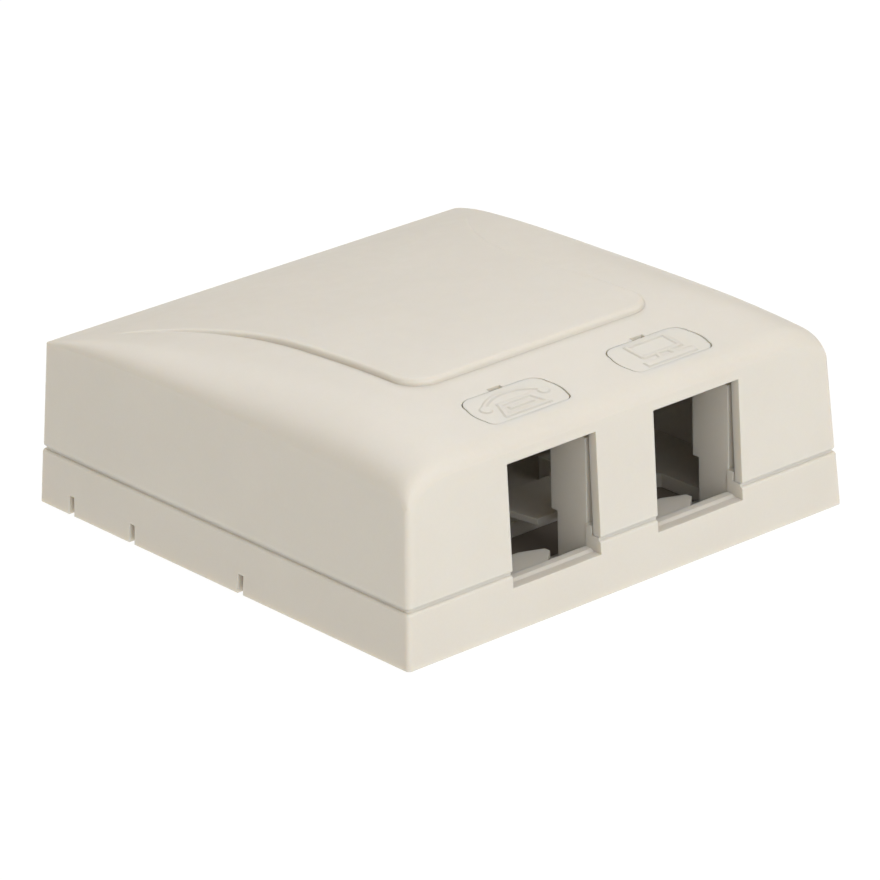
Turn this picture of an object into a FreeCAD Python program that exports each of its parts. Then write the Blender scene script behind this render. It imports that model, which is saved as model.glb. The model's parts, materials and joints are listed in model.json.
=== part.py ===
import FreeCAD, Part
import math
import os

# Two-port surface-mount wiring box: a shallow base tray, a push-on domed cover and two
# small pictogram tabs let into the cover above the ports.
# Millimetres, +Z up, origin at the centre of the underside, port face towards -Y.

# ---------------------------------------------------------------- driving dimensions
WIDTH = 74.0            # X, at the underside
DEPTH = 74.2            # Y, at the underside
DRAFT_X = 0.0683        # side walls lean in, mm per mm of height
DRAFT_Y = 0.0420        # front and back walls lean in, mm per mm of height

BASE_H = 7.36           # outer rim of the base
RIM_R = 0.36            # rounding of that rim
SEAT_H = 7.78           # inner seat under the cover's edge
COVER_Z0 = 7.83         # lower edge of the cover
COVER_EDGE_R = 0.32     # rounding of that edge
GROOVE_IN = 0.38        # depth of the shadow groove from the base's face
LIP_TOP = 9.00          # locating lip inside the cover
LIP_GAP = 0.28          # clearance between lip and cover
LIP_T = 1.2
BASE_R = 0.6            # vertical corner radius, base
COVER_R = 0.85          # vertical corner radius, cover
FLOOR_T = 2.0
WALL = 1.4              # cover wall

SHOULDER_Z = 22.2       # nominal height where the dome starts to round over
SHOULDER = ((-36, 21.72), (-26, 21.79), (-9, 22.22), (8, 22.61), (36, 21.95))   # Y, that height along the sides
CROWN = ((-36, 25.45), (-31, 26.20), (-26, 26.83), (-21, 27.31), (-15, 27.47), (-5, 27.14),
         (8, 26.24), (20, 25.22), (36, 22.79))       # Y, height of the dome's middle line
FRONT_R = 2.65          # rounding of the front edge on top
FRONT_R_SIDE = 3.00     # and where it runs down the sides
BACK_BLEND = 8.3        # horizontal run of the back rounding
SIDE_BLEND = ((-40, 7.1), (-26, 8.75), (-18, 10.3), (-10, 10.65), (-2, 9.95), (6, 8.55), (14, 6.6),
              (22, 4.4), (30, 2.15), (36, 1.05), (40, 0.9))   # Y, horizontal run of the side rounding
CORNER_Q = 1.53         # how the back and side roundings merge at the corners
ROOF_T = 1.9            # thickness under the dome

STEP_H = 0.80           # raised panel on the dome
STEP_R = 0.70           # rounding of its edge
PANEL_X = 20.75         # half width at the front
PANEL_FRONT = -20.2
PANEL_CORNER = 4.2
PANEL_FLARE_Y = 1.7     # where the panel's sides start to flare towards the back corners
PANEL_FLARE_R = 39.0
PANEL_BACK = 28.6
PANEL_FADE = (6.0, 29.6)    # the step dies out between these Y

PORT_W = 14.7
PORT_PITCH = 24.4
PORT_TOP = 22.1
PORT_SILL = 5.95        # top of the lip across the port
LEDGE_Z = 5.68          # front ledge of the sill
SILL_RISE = (-35.45, -34.95)    # slope between the two, in Y

HOLDER_IN = 7.45        # half width between the holder's side walls
HOLDER_T = 1.4
HOLDER_Y0 = -34.1       # front edges of the side walls
HOLDER_Y1 = -27.5       # back edges, upper part
HOLDER_Y1_LOW = -28.6   # back edges, lower part
HOLDER_STEP = 9.1
HOLDER_TOP = 20.6
BRIDGE_Z = 18.4         # underside of the bar over each port
PAD_TOP = 4.6           # low pad on the floor of each port

BLOCK = ((3.4, -23.3), (4.1, -19.0), (7.0, -13.8))   # tongue over the wire opening, half width along Y
BLOCK_TOP = 5.85
BLOCK_T = 1.3           # the wall it stands on, at its back end
BLOCK_PLATE = 0.9       # its thickness; wires pass under it

ENTRY_X = 24.0          # opening in the floor behind the holders, for wires from the wall
ENTRY_Y = (-26.6, -15.4)
ENTRY_CORNER = 1.5

TIE_X = 15.4            # low arches for cable ties
TIE_Y = (-9.3, 24.0)
TIE_TOP = 5.6

SLIT_Y = (30.2, 17.5, -4.6)   # slits that free the break-out panels
SLIT_W = 1.05
SLIT_H = 2.6
SLIT_DEEP = 2.6

SCREW_X = 18.0          # mounting slots in the floor
SCREW_Y = 10.0
SCREW_R = 2.1
SCREW_LEN = 8.0

TAB_X = 12.05           # pictogram tabs
TAB_HX = 7.15           # half width at the middle
TAB_Y0 = -32.9          # front edge
TAB_Y1 = -25.85         # back edge
TAB_R0 = 1.3            # front corners
TAB_R1 = 2.0            # back corners
TAB_BOW = 0.35          # how far the ends bow out
TAB_GAP = 0.06          # clearance along each tab's front and back
TAB_GAP_END = 0.22      # and at its ends
TAB_SEAT = 0.05         # and under it
TAB_T = 0.95
TAB_RELIEF = (0.05, 0.10)   # a low wide step and a narrow one on it
STROKE_W = (0.72, 0.44)
NOTCH_W = 2.2           # pry notch at the back edge of each tab
NOTCH_D = 0.65
NOTCH_SINK = 0.5        # how much deeper it goes than the pocket


def vec(x, y, z):
    return FreeCAD.Vector(x, y, z)


def box(x0, x1, y0, y1, z0, z1):
    return Part.makeBox(x1 - x0, y1 - y0, z1 - z0, vec(x0, y0, z0))


def one(shape, name):
    shape = shape.removeSplitter()
    sol = shape.Solids
    if len(sol) != 1 or not sol[0].isValid():
        print("warning", name, len(sol), [s.isValid() for s in sol], [round(s.Volume, 3) for s in sol])
    return max(sol, key=lambda s: s.Volume)


# ---------------------------------------------------------------- plan outlines
def rounded_rect(hx, hy, r, z, cx=0.0, cy=0.0):
    k = r * (1 - math.sqrt(0.5))
    p = []
    for sx, sy in ((1, 1), (-1, 1), (-1, -1), (1, -1)):
        a = vec(cx + sx * hx, cy + sy * (hy - r), z)
        m = vec(cx + sx * (hx - k), cy + sy * (hy - k), z)
        b = vec(cx + sx * (hx - r), cy + sy * hy, z)
        p.append((a, m, b) if sx * sy > 0 else (b, m, a))
    edges = []
    for i in range(4):
        a, m, b = p[i]
        n = p[(i + 1) % 4][0]
        edges.append(Part.Arc(a, m, b).toShape())
        edges.append(Part.LineSegment(b, n).toShape())
    return Part.Wire(edges)


def drafted(z0, z1, inset, r):
    wires = []
    for z in (z0, z1):
        wires.append(rounded_rect(WIDTH / 2 - DRAFT_X * z - inset, DEPTH / 2 - DRAFT_Y * z - inset, r, z))
    return Part.makeLoft(wires, True, True)


def banded(z0, z1, r, low=0.0, high=0.0, n=6):
    """Drafted block with its lower or upper rim rounded in narrow bands."""
    turn = [0.5 * math.pi * i / n for i in range(n + 1)]
    rows = [(z0 + low * (1 - math.cos(a)), low * (1 - math.sin(a))) for a in turn] if low else [(z0, 0.0)]
    rows += [(z1 - high * (1 - math.sin(a)), high * (1 - math.cos(a))) for a in turn] if high else [(z1, 0.0)]
    wires = [rounded_rect(WIDTH / 2 - DRAFT_X * z - off, DEPTH / 2 - DRAFT_Y * z - off, r - off, z) for z, off in rows]
    return Part.makeLoft(wires, True, True)


def prism(hx, hy, r, z0, z1, cx=0.0, cy=0.0):
    face = Part.Face(rounded_rect(hx, hy, r, z0, cx, cy))
    return face.extrude(vec(0, 0, z1 - z0))


def polygon(points, z0, z1):
    pts = [vec(x, y, z0) for x, y in points]
    return Part.Face(Part.makePolygon(pts + pts[:1])).extrude(vec(0, 0, z1 - z0))


# ---------------------------------------------------------------- the dome
EDGE_X = WIDTH / 2 - DRAFT_X * SHOULDER_Z
EDGE_Y = DEPTH / 2 - DRAFT_Y * SHOULDER_Z
OUT = 0.04


def quarter(t):
    t0 = 0.004
    if t >= 1:
        return 1.0
    if t > t0:
        return math.sqrt(max(0.0, 1 - (1 - t) ** 2))
    h0 = math.sqrt(1 - (1 - t0) ** 2)
    return h0 + (1 - t0) / h0 * (t - t0)


def spline_table(table):
    """Natural cubic spline through a table, held constant beyond its ends."""
    xs, fs = [float(a) for a, b in table], [float(b) for a, b in table]
    n = len(xs)
    h = [xs[i + 1] - xs[i] for i in range(n - 1)]
    c, d = [0.0] * n, [0.0] * n
    for i in range(1, n - 1):
        rhs = 6 * ((fs[i + 1] - fs[i]) / h[i] - (fs[i] - fs[i - 1]) / h[i - 1])
        den = 2 * (h[i - 1] + h[i]) - h[i - 1] * c[i - 1]
        c[i] = h[i] / den
        d[i] = (rhs - h[i - 1] * d[i - 1]) / den
    m = [0.0] * n
    for i in range(n - 2, 0, -1):
        m[i] = d[i] - c[i] * m[i + 1]

    def value(x):
        x = min(max(x, xs[0]), xs[-1])
        i = max(0, min(n - 2, sum(1 for a in xs if a <= x) - 1))
        u, v = xs[i + 1] - x, x - xs[i]
        return (m[i] * u ** 3 + m[i + 1] * v ** 3) / (6 * h[i]) + \
            (fs[i] / h[i] - m[i] * h[i] / 6) * u + (fs[i + 1] / h[i] - m[i + 1] * h[i] / 6) * v
    return value


crown = spline_table(CROWN)
shoulder = spline_table(SHOULDER)
side_run = spline_table(SIDE_BLEND)


def dome(x, y, inset=0.0, sink=0.0, drop=0.0):
    """Height of the dome; inset, sink and drop give the inner surface under it."""
    side = side_run(y)
    hx = quarter((EDGE_X + OUT - inset - abs(x)) / max(0.8, side - 0.3 * inset))
    back = quarter((EDGE_Y + OUT - inset - y) / (BACK_BLEND - 0.3 * inset))
    fall = ((max(0.0, 1 - hx)) ** CORNER_Q + (max(0.0, 1 - back)) ** CORNER_Q) ** (1 / CORNER_Q)
    lo = shoulder(y) - drop
    hi = crown(y) - sink
    r = FRONT_R_SIDE + (FRONT_R - FRONT_R_SIDE) * min(1.0, max(0.0, hx))
    front = r * (1 - max(-1.0, quarter((y + EDGE_Y + OUT - inset) / r)))
    return lo + (hi - lo) * max(-1.5, 1 - fall) - front


def step_height(y):
    a, b = PANEL_FADE
    return STEP_H * min(1.0, (b - y) / (b - a))


def spline_sheet(fun, xs, ys):
    """Smooth sheet z = fun(x, y) over the knot lines xs, ys."""
    deg = 3

    def setup(k):
        full = [k[0]] * deg + list(k) + [k[-1]] * deg
        grev = [sum(full[i + 1:i + 1 + deg]) / deg for i in range(len(full) - deg - 1)]
        return grev, [deg + 1] + [1] * (len(k) - 2) + [deg + 1]

    gx, mx = setup(xs)
    gy, my = setup(ys)
    poles = [[vec(a, b, fun(a, b)) for b in gy] for a in gx]
    s = Part.BSplineSurface()
    s.buildFromPolesMultsKnots(poles, mx, my, list(xs), list(ys), False, False, deg, deg)
    return s


STEPS = (-0.9, -0.25, -0.08, -0.02, 0.03, 0.08, 0.15, 0.25, 0.4, 0.6, 0.9, 1.3, 1.8, 2.5, 3.4, 4.6,
         6.0, 7.6, 9.5, 12.0, 15.0, 19.0, 24.0, 29.5)


def knots(edge):
    half = [edge - s for s in STEPS if edge - s > 3.0]
    return sorted([-v for v in half]) + [0.0] + sorted(half)


def even(a, b, n):
    return [a + (b - a) * i / n for i in range(n + 1)]


def under(fun, xs, ys, depth=30.0):
    return spline_sheet(fun, xs, ys).toShape().extrude(vec(0, 0, -depth))


# ---------------------------------------------------------------- base tray
def holder(cx):
    """Jack holder behind one port: two stepped side walls, a bar over the top, a low pad on the floor."""
    parts = []
    for s in (-1, 1):
        x0, x1 = sorted((cx + s * HOLDER_IN, cx + s * (HOLDER_IN + HOLDER_T)))
        parts.append(box(x0, x1, HOLDER_Y0, HOLDER_Y1, HOLDER_STEP, HOLDER_TOP))
        parts.append(box(x0, x1, HOLDER_Y0, HOLDER_Y1_LOW, FLOOR_T - 0.2, HOLDER_STEP + 0.01))
    parts.append(box(cx - HOLDER_IN - 0.1, cx + HOLDER_IN + 0.1, HOLDER_Y1 - 2.2, HOLDER_Y1, BRIDGE_Z, HOLDER_TOP))
    pad = [(-2.2, HOLDER_Y0), (2.2, HOLDER_Y0), (2.2, -32.4), (5.2, -29.6), (5.2, -28.6), (2.0, -27.2),
           (-2.0, -27.2), (-5.2, -28.6), (-5.2, -29.6), (-2.2, -32.4)]
    parts.append(polygon([(cx + x, y) for x, y in pad], FLOOR_T - 0.2, PAD_TOP))
    return parts


def tie_bridge(cx, cy):
    """Low arch for a cable tie."""
    b = box(cx - 4.7, cx + 4.7, cy - 1.6, cy + 1.6, FLOOR_T - 0.2, TIE_TOP)
    return b.cut(box(cx - 3.1, cx + 3.1, cy - 3.0, cy + 3.0, 2.8, 4.3))


def make_base():
    body = banded(0.0, BASE_H, BASE_R, high=RIM_R)
    seat_x = WIDTH / 2 - DRAFT_X * BASE_H - GROOVE_IN
    seat_y = DEPTH / 2 - DRAFT_Y * BASE_H - GROOVE_IN
    body = body.fuse(prism(seat_x, seat_y, 0.5, BASE_H - 0.5, SEAT_H))
    lip_x = WIDTH / 2 - DRAFT_X * LIP_TOP - WALL - LIP_GAP
    lip_y = DEPTH / 2 - DRAFT_Y * LIP_TOP - WALL - LIP_GAP
    body = body.fuse(prism(lip_x, lip_y, 0.5, SEAT_H - 0.5, LIP_TOP))
    cx, cy = lip_x - LIP_T, lip_y - LIP_T
    body = body.cut(prism(cx, cy, 0.6, FLOOR_T, 30.0))

    plan = [(x, y) for x, y in BLOCK] + [(-x, y) for x, y in reversed(BLOCK)]
    add = [polygon(plan, FLOOR_T - 0.2, BLOCK_TOP)]
    for s in (-1, 1):
        add += holder(s * PORT_PITCH / 2)
        for y in TIE_Y:
            add.append(tie_bridge(s * TIE_X, y))
        # raised ring round each mounting slot
        add.append(prism(SCREW_LEN / 2 + 2.0, SCREW_R + 2.0, SCREW_R + 1.95, FLOOR_T - 0.2, FLOOR_T + 1.0,
                         s * SCREW_X, SCREW_Y))
    body = body.fuse(add)

    # the space under the tongue, and the opening in the floor with its corners cut off
    (y0, y1), k = ENTRY_Y, ENTRY_CORNER
    entry = [(ENTRY_X, y0 + k), (ENTRY_X, y1 - k), (ENTRY_X - k, y1), (k - ENTRY_X, y1),
             (-ENTRY_X, y1 - k), (-ENTRY_X, y0 + k), (k - ENTRY_X, y0), (ENTRY_X - k, y0)]
    cut = [box(-8.0, 8.0, BLOCK[0][1] - 1.0, BLOCK[-1][1] - BLOCK_T, FLOOR_T, BLOCK_TOP - BLOCK_PLATE),
           polygon(entry, -1.0, FLOOR_T + 1.0)]
    for s in (-1, 1):
        px = s * PORT_PITCH / 2
        # sill of the port: a front ledge and the cut-down lip behind it, with a sloping front
        sill = [(-40.0, LEDGE_Z), (SILL_RISE[0], LEDGE_Z), (SILL_RISE[1], PORT_SILL), (-33.0, PORT_SILL), (-33.0, 12.0), (-40.0, 12.0)]
        pts = [vec(px - PORT_W / 2, y, z) for y, z in sill]
        cut.append(Part.Face(Part.makePolygon(pts + pts[:1])).extrude(vec(PORT_W, 0, 0)))
        cut.append(prism(SCREW_LEN / 2, SCREW_R, SCREW_R - 0.001, -1.0, 6.0, s * SCREW_X, SCREW_Y))
        for y in SLIT_Y:
            x0, x1 = sorted((s * (WIDTH / 2 + 1), s * (WIDTH / 2 - SLIT_DEEP)))
            cut.append(box(x0, x1, y - SLIT_W / 2, y + SLIT_W / 2, -1.0, SLIT_H))
        # thinned strips behind the break-out panels, inside the wall
        for a, b in ((SLIT_Y[1], SLIT_Y[0]), (SLIT_Y[2], SLIT_Y[1])):
            x0, x1 = sorted((s * (cx - 0.5), s * (WIDTH / 2 - 1.3)))
            cut.append(box(x0, x1, a + 0.9, b - 0.9, FLOOR_T, 3.1))
    body = body.cut(cut)
    return one(body, "base")


# ---------------------------------------------------------------- cover
def panel_outline(z):
    """Plan of the raised panel: straight front, rounded front corners, sides that flare to the back corners."""
    hx, yf, rc, rf = PANEL_X, PANEL_FRONT, PANEL_CORNER, PANEL_FLARE_R
    fx = hx + rf                            # flare centre, |x|
    up = PANEL_BACK - PANEL_FLARE_Y
    xe = fx - math.sqrt(rf ** 2 - up ** 2)
    am = 0.5 * (math.pi + math.atan2(up, xe - fx))
    mx, my = fx + rf * math.cos(am), PANEL_FLARE_Y + rf * math.sin(am)
    k = rc * (1 - math.sqrt(0.5))

    def v(x, y):
        return vec(x, y, z)

    e = [Part.LineSegment(v(-hx + rc, yf), v(hx - rc, yf)),
         Part.Arc(v(hx - rc, yf), v(hx - k, yf + k), v(hx, yf + rc)),
         Part.LineSegment(v(hx, yf + rc), v(hx, PANEL_FLARE_Y)),
         Part.Arc(v(hx, PANEL_FLARE_Y), v(mx, my), v(xe, PANEL_BACK)),
         Part.LineSegment(v(xe, PANEL_BACK), v(-xe, PANEL_BACK)),
         Part.Arc(v(-xe, PANEL_BACK), v(-mx, my), v(-hx, PANEL_FLARE_Y)),
         Part.LineSegment(v(-hx, PANEL_FLARE_Y), v(-hx, yf + rc)),
         Part.Arc(v(-hx, yf + rc), v(-hx + k, yf + k), v(-hx + rc, yf))]
    return Part.Wire([c.toShape() for c in e])


def tab_outline(cx, gap, gap_end, z):
    """Plan of a pictogram tab: straight front and back, bowed ends with rounded corners."""
    y0, y1 = TAB_Y0 + gap, TAB_Y1 - gap
    hx, r0, r1 = TAB_HX - gap_end, TAB_R0 - gap, TAB_R1 - gap
    ym = 0.5 * (y0 + r0 + y1 - r1)
    xc = hx - TAB_BOW
    q = 1 - math.sqrt(0.5)

    def v(x, y):
        return vec(cx + x, y, z)

    e = [Part.LineSegment(v(-xc + r0, y0), v(xc - r0, y0)),
         Part.Arc(v(xc - r0, y0), v(xc - r0 * q, y0 + r0 * q), v(xc, y0 + r0)),
         Part.Arc(v(xc, y0 + r0), v(hx, ym), v(xc, y1 - r1)),
         Part.Arc(v(xc, y1 - r1), v(xc - r1 * q, y1 - r1 * q), v(xc - r1, y1)),
         Part.LineSegment(v(xc - r1, y1), v(-xc + r1, y1)),
         Part.Arc(v(-xc + r1, y1), v(-xc + r1 * q, y1 - r1 * q), v(-xc, y1 - r1)),
         Part.Arc(v(-xc, y1 - r1), v(-hx, ym), v(-xc, y0 + r0)),
         Part.Arc(v(-xc, y0 + r0), v(-xc + r0 * q, y0 + r0 * q), v(-xc + r0, y0))]
    return Part.Wire([c.toShape() for c in e])


def tab_floor(dz):
    """Half-space block above the sloping floor of the tab pockets."""
    y0, y1 = TAB_Y0 - 2.0, TAB_Y1 + 2.0
    za = dome(TAB_X, TAB_Y0) - TAB_T
    zb = dome(TAB_X, TAB_Y1) - TAB_T
    s = (zb - za) / (TAB_Y1 - TAB_Y0)
    pts = [vec(-30, y0, za + s * (y0 - TAB_Y0) + dz), vec(-30, y1, za + s * (y1 - TAB_Y0) + dz),
           vec(-30, y1, 40), vec(-30, y0, 40)]
    return Part.Face(Part.makePolygon(pts + pts[:1])).extrude(vec(60, 0, 0))


XS = knots(EDGE_X + OUT)
YS = knots(EDGE_Y + OUT)


def make_cover():
    block = banded(COVER_Z0, 31.0, COVER_R, low=COVER_EDGE_R)
    skin = block.common(under(dome, XS, YS))

    # raised panel with a rounded edge
    top = under(lambda x, y: dome(x, y) + step_height(y), XS, YS)
    panel = Part.Face(panel_outline(12.0)).extrude(vec(0, 0, 20.0)).common(top)
    face = max((f for f in panel.Faces if isinstance(f.Surface, Part.BSplineSurface)), key=lambda f: f.Area)
    panel = panel.makeFillet(STEP_R, [e for e in face.Edges if e.CenterOfMass.y < PANEL_BACK - 0.3])
    skin = skin.fuse(panel)

    # inside
    inner = drafted(COVER_Z0 - 3.0, 31.0, WALL, 0.6)
    roof = under(lambda x, y: dome(x, y, WALL, ROOF_T, 0.9), knots(EDGE_X + OUT - WALL), knots(EDGE_Y + OUT - WALL))
    skin = skin.cut(inner.common(roof))

    cut = []
    for s in (-1, 1):
        px = s * PORT_PITCH / 2
        cut.append(box(px - PORT_W / 2, px + PORT_W / 2, -40.0, -34.0, COVER_Z0 - 1.0, PORT_TOP))
        pocket = Part.Face(tab_outline(s * TAB_X, 0.0, 0.0, 20.0)).extrude(vec(0, 0, 12.0))
        notch = box(s * TAB_X - NOTCH_W / 2, s * TAB_X + NOTCH_W / 2, TAB_Y1 - 0.2, TAB_Y1 + NOTCH_D, 20.0, 32.0)
        cut.append(pocket.common(tab_floor(0.0)).fuse(notch.common(tab_floor(-NOTCH_SINK))))
    return one(skin.cut(cut), "cover")


# ---------------------------------------------------------------- pictogram tabs
def bar(x0, y0, x1, y1, w):
    dx, dy = x1 - x0, y1 - y0
    n = math.hypot(dx, dy)
    ux, uy = dx / n * w / 2, dy / n * w / 2
    return polygon([(x0 - ux - uy, y0 - uy + ux), (x0 - ux + uy, y0 - uy - ux),
                    (x1 + ux + uy, y1 + uy - ux), (x1 + ux - uy, y1 + uy + ux)], 20.0, 32.0)


def ring_arc(cx, cy, r, a0, a1, w):
    """Curved stroke about (cx, cy) from angle a0 to a1, degrees."""
    p = []
    for rr, (b0, b1) in ((r + w / 2, (a0, a1)), (r - w / 2, (a1, a0))):
        p.append([vec(cx + rr * math.cos(math.radians(b)), cy + rr * math.sin(math.radians(b)), 20.0)
                  for b in (b0, 0.5 * (b0 + b1), b1)])
    e = [Part.Arc(*p[0]).toShape(), Part.LineSegment(p[0][2], p[1][0]).toShape(),
         Part.Arc(*p[1]).toShape(), Part.LineSegment(p[1][2], p[0][0]).toShape()]
    return Part.Face(Part.Wire(e)).extrude(vec(0, 0, 12.0))


def frame(x0, x1, y0, y1, r, w):
    hx, hy = (x1 - x0) / 2, (y1 - y0) / 2
    cx, cy = (x0 + x1) / 2, (y0 + y1) / 2
    return prism(hx, hy, r, 20.0, 32.0, cx, cy).cut(prism(hx - w, hy - w, max(0.1, r - w), 19.0, 33.0, cx, cy))


def telephone(cx, w):
    """Handset over a tapered body."""
    return [ring_arc(cx, -34.05, 7.0, 48, 132, w),
            Part.makeCylinder(0.5 + w / 2, 12.0, vec(cx - 4.75, -29.35, 20.0)),
            Part.makeCylinder(0.5 + w / 2, 12.0, vec(cx + 4.75, -29.35, 20.0)),
            bar(cx - 2.5, -29.3, cx + 2.5, -29.3, w), bar(cx - 3.5, -31.8, cx + 3.5, -31.8, w),
            bar(cx - 2.5, -29.3, cx - 3.5, -31.8, w), bar(cx + 2.5, -29.3, cx + 3.5, -31.8, w),
            bar(cx - 1.7, -30.55, cx + 1.7, -30.55, w)]


def computer(cx, w):
    """Screen on a foot over a keyboard."""
    g = w / 2
    return [frame(cx - 3.2 - g, cx + 3.2 + g, -30.1 - g, -26.8 + g, 0.5, w),
            bar(cx - 0.9, -30.1, cx - 1.2, -31.2, w), bar(cx + 0.9, -30.1, cx + 1.2, -31.2, w),
            box(cx - 3.9 - g, cx + 3.9 + g, -32.0 - g, -31.5 + g, 20.0, 32.0)]


def make_tab(cx, picture):
    xs, ys = even(cx - 9.0, cx + 9.0, 14), even(TAB_Y0 - 1.5, TAB_Y1 + 1.5, 12)
    plate = Part.Face(tab_outline(cx, TAB_GAP, TAB_GAP_END, 20.0)).extrude(vec(0, 0, 12.0))
    body = plate.common(under(lambda x, y: dome(x, y) - 0.03, xs, ys)).common(tab_floor(TAB_SEAT))
    for h, w in zip(TAB_RELIEF, STROKE_W):
        strokes = picture(cx, w)
        relief = strokes[0].multiFuse(strokes[1:])
        relief = relief.common(under(lambda x, y: dome(x, y) - 0.03 + h, xs, ys))
        body = body.fuse(relief.common(tab_floor(0.3)).common(plate))
    return one(body, "tab")


if __name__ == "__main__":
    os.makedirs("parts", exist_ok=True)
    made = {
        "base": make_base(),
        "cover": make_cover(),
        "telephone_tab": make_tab(-TAB_X, telephone),
        "computer_tab": make_tab(TAB_X, computer),
    }
    for name, solid in made.items():
        print(name, "valid", solid.isValid(), "volume", round(solid.Volume, 2), "faces", len(solid.Faces))
        solid.exportStep("parts/%s.step" % name)
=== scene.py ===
import json
import math

import bpy
from mathutils import Matrix, Vector

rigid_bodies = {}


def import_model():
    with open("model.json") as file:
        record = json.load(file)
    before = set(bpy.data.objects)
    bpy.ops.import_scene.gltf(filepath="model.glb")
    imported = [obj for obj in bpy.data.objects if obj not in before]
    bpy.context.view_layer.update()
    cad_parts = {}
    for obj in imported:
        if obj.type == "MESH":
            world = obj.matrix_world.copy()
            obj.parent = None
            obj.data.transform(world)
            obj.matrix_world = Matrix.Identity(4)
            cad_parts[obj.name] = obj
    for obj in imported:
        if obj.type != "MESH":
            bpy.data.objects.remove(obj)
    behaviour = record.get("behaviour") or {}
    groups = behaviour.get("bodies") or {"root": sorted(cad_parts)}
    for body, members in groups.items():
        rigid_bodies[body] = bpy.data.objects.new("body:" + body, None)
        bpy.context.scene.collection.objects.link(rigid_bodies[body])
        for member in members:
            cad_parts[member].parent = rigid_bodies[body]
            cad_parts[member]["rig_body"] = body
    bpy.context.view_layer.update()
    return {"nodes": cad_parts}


# ---------------------------------------------------------------- frame
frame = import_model()
nodes = frame["nodes"]
scene = bpy.context.scene
for ob in list(scene.objects):
    if ob.type in {"LIGHT", "CAMERA"} or (ob.type == "MESH" and ob.name == "Cube" and "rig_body" not in ob):
        bpy.data.objects.remove(ob)
scene.view_settings.view_transform = "Standard"
scene.view_settings.look = "None"
scene.view_settings.exposure = 0.0
scene.view_settings.gamma = 1.0


# ---------------------------------------------------------------- moulded plastic
def moulded(name, dark, light, rough, grain, relief, soft, specular=0.46):
    """Moulded ivory plastic: slow flow variation in colour, fine sparked grain in bump and roughness."""
    mat = bpy.data.materials.new(name)
    mat.use_nodes = True
    nt = mat.node_tree
    nt.nodes.clear()
    out = nt.nodes.new("ShaderNodeOutputMaterial")
    bsdf = nt.nodes.new("ShaderNodeBsdfPrincipled")
    nt.links.new(bsdf.outputs["BSDF"], out.inputs["Surface"])
    bsdf.inputs["IOR"].default_value = 1.5
    bsdf.inputs["Specular IOR Level"].default_value = specular
    # the thin walls let a little warm light through
    bsdf.inputs["Subsurface Weight"].default_value = 0.42
    bsdf.inputs["Subsurface Radius"].default_value = (1.0, 0.74, 0.46)
    bsdf.inputs["Subsurface Scale"].default_value = 0.0023

    pos = nt.nodes.new("ShaderNodeTexCoord")

    # slow variation of the melt
    flow = nt.nodes.new("ShaderNodeTexNoise")
    flow.inputs["Scale"].default_value = 55.0
    flow.inputs["Detail"].default_value = 3.0
    flow.inputs["Roughness"].default_value = 0.55
    flow.inputs["Distortion"].default_value = 0.4
    nt.links.new(pos.outputs["Object"], flow.inputs["Vector"])

    # pigment speckle
    speck = nt.nodes.new("ShaderNodeTexNoise")
    speck.inputs["Scale"].default_value = 2600.0
    speck.inputs["Detail"].default_value = 2.0
    nt.links.new(pos.outputs["Object"], speck.inputs["Vector"])

    mix = nt.nodes.new("ShaderNodeMix")
    mix.data_type = "FLOAT"
    mix.inputs[0].default_value = 0.30
    nt.links.new(flow.outputs["Fac"], mix.inputs[2])
    nt.links.new(speck.outputs["Fac"], mix.inputs[3])

    ramp = nt.nodes.new("ShaderNodeValToRGB")
    ramp.color_ramp.elements[0].position = 0.30
    ramp.color_ramp.elements[0].color = (*dark, 1.0)
    ramp.color_ramp.elements[1].position = 0.70
    ramp.color_ramp.elements[1].color = (*light, 1.0)
    nt.links.new(mix.outputs[0], ramp.inputs["Fac"])
    nt.links.new(ramp.outputs["Color"], bsdf.inputs["Base Color"])

    # roughness wanders with the grain
    patch = nt.nodes.new("ShaderNodeTexNoise")
    patch.inputs["Scale"].default_value = 420.0
    patch.inputs["Detail"].default_value = 4.0
    nt.links.new(pos.outputs["Object"], patch.inputs["Vector"])
    rmap = nt.nodes.new("ShaderNodeMapRange")
    rmap.inputs["From Min"].default_value = 0.25
    rmap.inputs["From Max"].default_value = 0.75
    rmap.inputs["To Min"].default_value = rough - 0.05
    rmap.inputs["To Max"].default_value = rough + 0.05
    nt.links.new(patch.outputs["Fac"], rmap.inputs["Value"])
    nt.links.new(rmap.outputs["Result"], bsdf.inputs["Roughness"])

    # sparked grain and a little sink in the walls
    fine = nt.nodes.new("ShaderNodeTexNoise")
    fine.inputs["Scale"].default_value = grain
    fine.inputs["Detail"].default_value = 3.0
    fine.inputs["Roughness"].default_value = 0.6
    nt.links.new(pos.outputs["Object"], fine.inputs["Vector"])
    edge = nt.nodes.new("ShaderNodeBevel")
    edge.samples = 6
    edge.inputs["Radius"].default_value = soft
    bump = nt.nodes.new("ShaderNodeBump")
    nt.links.new(edge.outputs["Normal"], bump.inputs["Normal"])
    bump.inputs["Strength"].default_value = 0.35
    bump.inputs["Distance"].default_value = relief
    nt.links.new(fine.outputs["Fac"], bump.inputs["Height"])
    sink = nt.nodes.new("ShaderNodeTexNoise")
    sink.inputs["Scale"].default_value = 70.0
    sink.inputs["Detail"].default_value = 1.0
    nt.links.new(pos.outputs["Object"], sink.inputs["Vector"])
    wave = nt.nodes.new("ShaderNodeBump")
    wave.inputs["Strength"].default_value = 0.25
    wave.inputs["Distance"].default_value = 0.00004
    nt.links.new(sink.outputs["Fac"], wave.inputs["Height"])
    nt.links.new(bump.outputs["Normal"], wave.inputs["Normal"])
    nt.links.new(wave.outputs["Normal"], bsdf.inputs["Normal"])
    return mat


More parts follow.
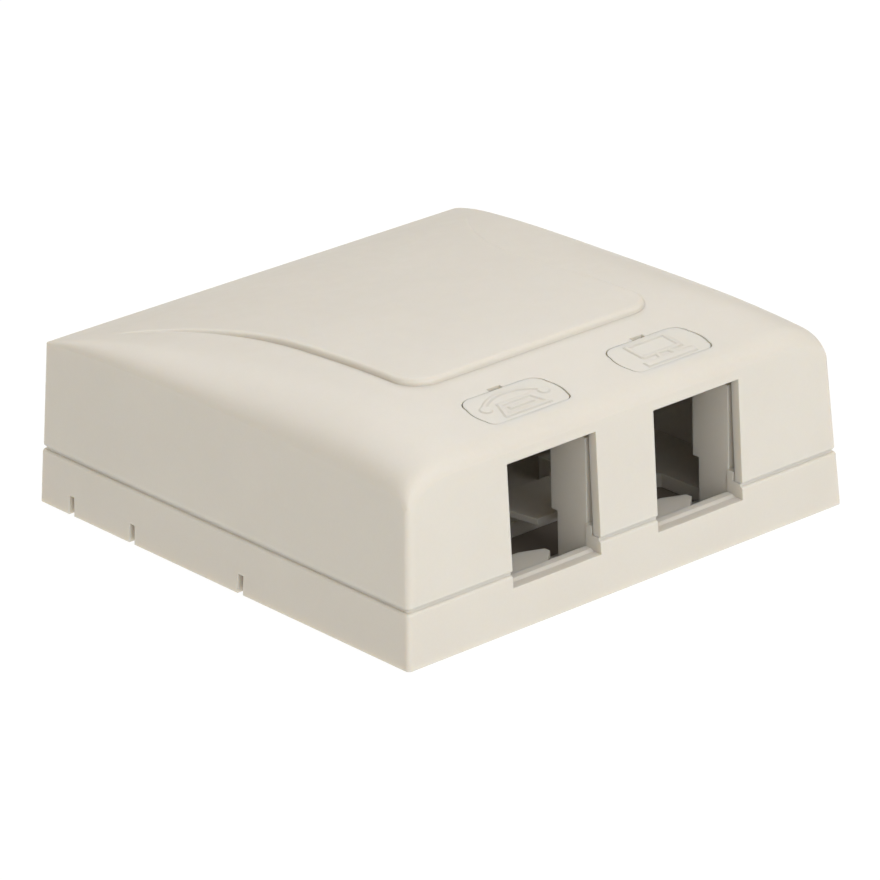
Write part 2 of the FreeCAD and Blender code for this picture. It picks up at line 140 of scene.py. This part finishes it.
cover_mat = moulded("cover_plastic_look", (0.606, 0.569, 0.499), (0.630, 0.593, 0.523), 0.43, 4200.0, 0.000022, 0.00016)
base_mat = moulded("base_plastic_look", (0.600, 0.562, 0.492), (0.626, 0.588, 0.518), 0.49, 3800.0, 0.000024, 0.00016)
tab_mat = moulded("tab_plastic_look", (0.610, 0.573, 0.503), (0.630, 0.593, 0.523), 0.42, 5200.0, 0.000012, 0.00022)
for name, mat in (("cover", cover_mat), ("base", base_mat), ("telephone_tab", tab_mat), ("computer_tab", tab_mat)):
    ob = nodes[name]
    ob.data.materials.clear()
    ob.data.materials.append(mat)

# ---------------------------------------------------------------- floor
half = 4.0
mesh = bpy.data.meshes.new("floor")
mesh.from_pydata([(-half, -half, 0), (half, -half, 0), (half, half, 0), (-half, half, 0)], [], [(0, 1, 2, 3)])
floor = bpy.data.objects.new("floor", mesh)
floor.location.z = -0.0002
scene.collection.objects.link(floor)
fmat = bpy.data.materials.new("floor_white")
fmat.use_nodes = True
fb = fmat.node_tree.nodes["Principled BSDF"]
fb.inputs["Base Color"].default_value = (0.08, 0.08, 0.08, 1.0)
fb.inputs["Roughness"].default_value = 0.9
fb.inputs["Specular IOR Level"].default_value = 0.0
fb.inputs["Emission Color"].default_value = (1.0, 1.0, 0.985, 1.0)
fb.inputs["Emission Strength"].default_value = 0.955
mesh.materials.append(fmat)

# painted shade: a dark grey sheet under the box stands in for the shaded floor beneath it, unlike the glowing floor
# around it
hx, hy = 0.0358, 0.0362
mesh = bpy.data.meshes.new("floor_shade")
mesh.from_pydata([(-hx, -hy, 0), (hx, -hy, 0), (hx, hy, 0), (-hx, hy, 0)], [], [(0, 1, 2, 3)])
shade = bpy.data.objects.new("floor_shade", mesh)
shade.location.z = -0.0001
scene.collection.objects.link(shade)
smat = bpy.data.materials.new("floor_shade")
smat.use_nodes = True
sb = smat.node_tree.nodes["Principled BSDF"]
sb.inputs["Base Color"].default_value = (0.25, 0.215, 0.18, 1.0)
sb.inputs["Roughness"].default_value = 0.9
sb.inputs["Specular IOR Level"].default_value = 0.0
mesh.materials.append(smat)

# ---------------------------------------------------------------- light
world = bpy.data.worlds.new("studio")
scene.world = world
world.use_nodes = True
bg = world.node_tree.nodes["Background"]
bg.inputs["Color"].default_value = (1.20, 1.05, 0.83, 1.0)
bg.inputs["Strength"].default_value = 0.255


def softbox(name, direction, distance, size, strength, colour):
    """Square soft light aimed at the middle of the box; strength is what it adds to a white face turned to it."""
    light = bpy.data.lights.new(name, "AREA")
    light.shape = "SQUARE"
    light.size = size
    light.energy = strength * math.pi ** 2 * distance ** 2
    light.color = colour
    ob = bpy.data.objects.new(name, light)
    d = Vector(direction).normalized()
    ob.location = Vector((0.0, 0.0, 0.012)) + d * distance
    ob.rotation_mode = "QUATERNION"
    ob.rotation_quaternion = (-d).to_track_quat("-Z", "Y")
    ob.visible_camera = False
    scene.collection.objects.link(ob)
    return ob


def tent(azimuth, elevation):
    """Direction of a light, azimuth from the port face towards +X, degrees."""
    a, e = math.radians(azimuth), math.radians(elevation)
    return (math.cos(e) * math.sin(a), -math.cos(e) * math.cos(a), math.sin(e))


daylight = (0.955, 0.985, 1.04)
softbox("key_high", tent(0, 60), 0.90, 1.3, 0.37, daylight)
softbox("key", tent(0, 40), 0.90, 1.3, 0.285, daylight)
softbox("key_core", tent(0, 38), 0.90, 0.40, 0.22, daylight)
softbox("left", tent(320, 25), 0.90, 0.8, 0.285, daylight)
softbox("back", tent(160, 50), 0.90, 1.0, 0.55, daylight)
softbox("right", tent(70, 45), 0.90, 1.0, 0.115, daylight)

# ---------------------------------------------------------------- camera
AZ, EL, ROLL = (math.radians(v) for v in (-40.2754, 23.3607, -1.6918))
FOCAL, TX, TY, DIST = 5549.53, -1.4445, 61.8, 0.72302
back = Vector((math.sin(AZ) * math.cos(EL), -math.cos(AZ) * math.cos(EL), math.sin(EL)))
right = Vector((math.cos(AZ), math.sin(AZ), 0.0))
up = back.cross(right)
r2 = math.cos(ROLL) * right + math.sin(ROLL) * up
u2 = -math.sin(ROLL) * right + math.cos(ROLL) * up
aim = r2 * (-TX / FOCAL) + u2 * (TY / FOCAL) - back
b3 = -aim.normalized()
r3 = (r2 - b3 * r2.dot(b3)).normalized()
u3 = b3.cross(r3)
cam = bpy.data.cameras.new("camera")
cam.sensor_width = 36.0
cam.lens = FOCAL * aim.length * 36.0 / 880.0
cam.clip_start = 0.05
cam.clip_end = 50.0
cam_ob = bpy.data.objects.new("camera", cam)
m = Matrix((r3, u3, b3)).transposed().to_4x4()
m.translation = back * DIST
cam_ob.matrix_world = m
scene.collection.objects.link(cam_ob)
scene.camera = cam_ob
